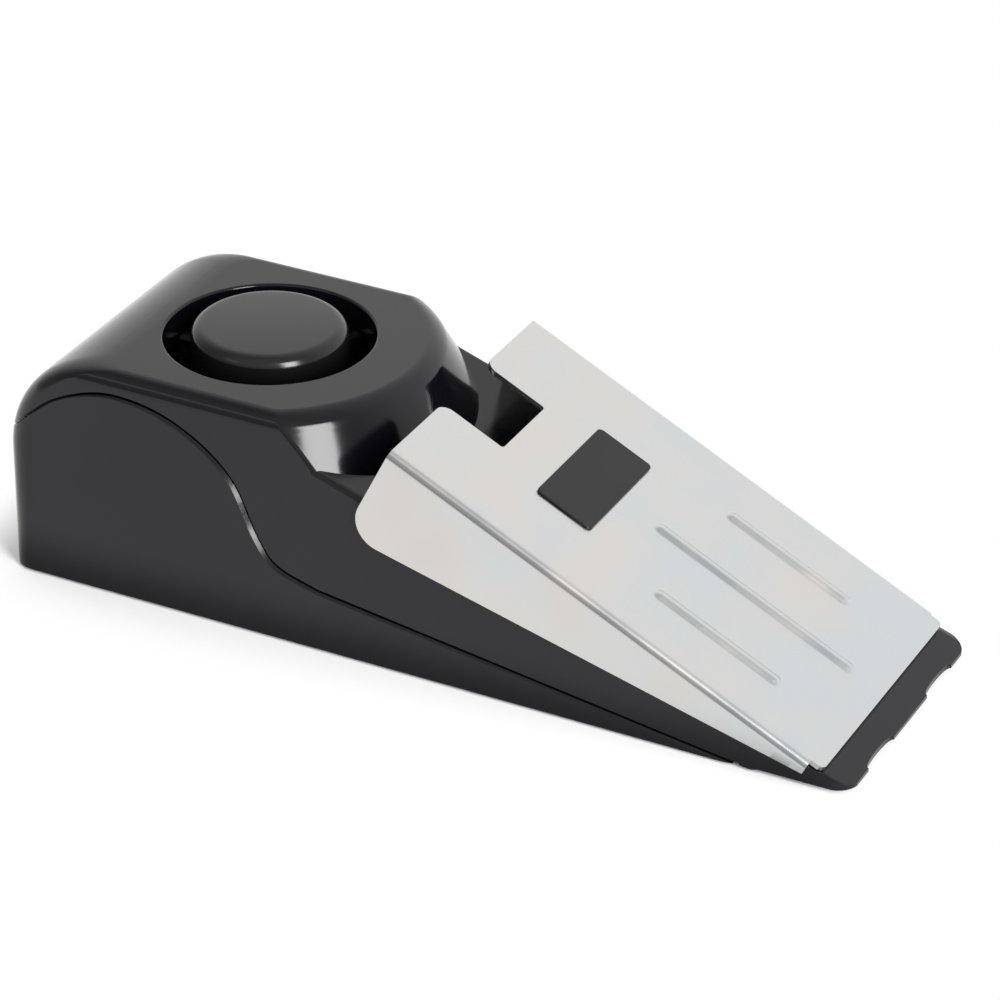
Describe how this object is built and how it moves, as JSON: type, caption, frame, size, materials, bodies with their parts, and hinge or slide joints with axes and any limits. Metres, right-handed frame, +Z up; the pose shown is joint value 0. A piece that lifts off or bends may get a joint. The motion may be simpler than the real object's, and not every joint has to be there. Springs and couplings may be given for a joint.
{
  "type": "door security alarm",
  "caption": "Wedge-shaped door stop alarm: black split case with a round sounder well, sloping hinged steel press plate with a bare label, battery door and rubber feet.",
  "frame": {"origin": "on the surface that the pads stand on, under the middle of the box round the alarm", "axes": "+X towards the thin nose that goes under the door, +Z up, +Y across"},
  "size_m": [0.143, 0.0482, 0.0411],
  "materials": {
    "case_plastic": "semi-gloss moulded black",
    "gloss_plastic": "gloss",
    "steel_plate": "satin stainless",
    "label_foil": "satin black",
    "plated_steel": "zinc plated",
    "dark_plastic": "matte",
    "pale_plastic": "matte",
    "brass_disc": "rolled sheet",
    "board": "solder mask",
    "copper_wire": "enamelled",
    "battery_can": "semi-gloss",
    "red_insulation": "matte",
    "foam": "open cell",
    "pad_rubber": "matte"
  },
  "bodies": {
    "case": {"upper_case": "case_plastic", "lower_case": "case_plastic", "sounder_cap": "gloss_plastic", "hinge_pin": "plated_steel", "sounder_housing": "dark_plastic", "piezo_disc": "brass_disc", "piezo_ceramic": "pale_plastic", "piezo_lead_red": "red_insulation", "piezo_lead_black": "dark_plastic", "return_spring": "plated_steel", "tact_switch": "plated_steel", "circuit_board": "board", "driver_coil": "copper_wire", "capacitor": "dark_plastic", "driver_chip": "dark_plastic", "transistor": "dark_plastic", "board_screw_1": "plated_steel", "board_screw_2": "plated_steel", "case_screw_1": "plated_steel", "case_screw_2": "plated_steel", "case_screw_3": "plated_steel", "case_screw_4": "plated_steel", "battery": "battery_can", "battery_snap": "dark_plastic", "battery_lead_red": "red_insulation", "battery_lead_black": "dark_plastic", "battery_foam": "foam", "slide_switch_body": "plated_steel", "switch_lead_1": "red_insulation", "switch_lead_2": "dark_plastic", "grip_pad_front": "pad_rubber", "grip_pad_left": "pad_rubber", "grip_pad_right": "pad_rubber"},
    "plate": {"press_plate": "steel_plate", "plate_label": "label_foil"},
    "plunger": {"plunger": "pale_plastic"},
    "button": {"tact_button": "dark_plastic"},
    "knob": {"slide_switch_knob": "dark_plastic"},
    "door": {"battery_door": "case_plastic"}
  },
  "joints": [
    {"name": "plate_hinge", "type": "hinge", "parent": "case", "child": "plate", "pos_m": [0.0615, 0, 0.0029], "axis": [0, -1, 0], "range_deg": [0, 5.5], "stiffness_Nm_per_rad": 0.74, "springref_deg": -10.08},
    {"name": "plunger_slide", "type": "slide", "parent": "case", "child": "plunger", "axis": [0, 0, -1], "range_m": [0, 0.00491], "deforming": ["return_spring"]},
    {"name": "tact_button_slide", "type": "slide", "parent": "case", "child": "button", "axis": [0, 0, -1], "range_m": [0, 0.00041]},
    {"name": "knob_slide", "type": "slide", "parent": "case", "child": "knob", "axis": [1, 0, 0], "range_m": [0, 0.0025]},
    {"name": "battery_door_slide", "type": "slide", "parent": "case", "child": "door", "axis": [-1, 0, 0], "range_m": [0, 0.05]}
  ],
  "couplings": [
    {"joint": "plunger_slide", "follows": "plate_hinge", "m_per_rad": 0.05104},
    {"joint": "tact_button_slide", "follows": "plate_hinge", "m_per_rad": 0.004166}
  ]
}
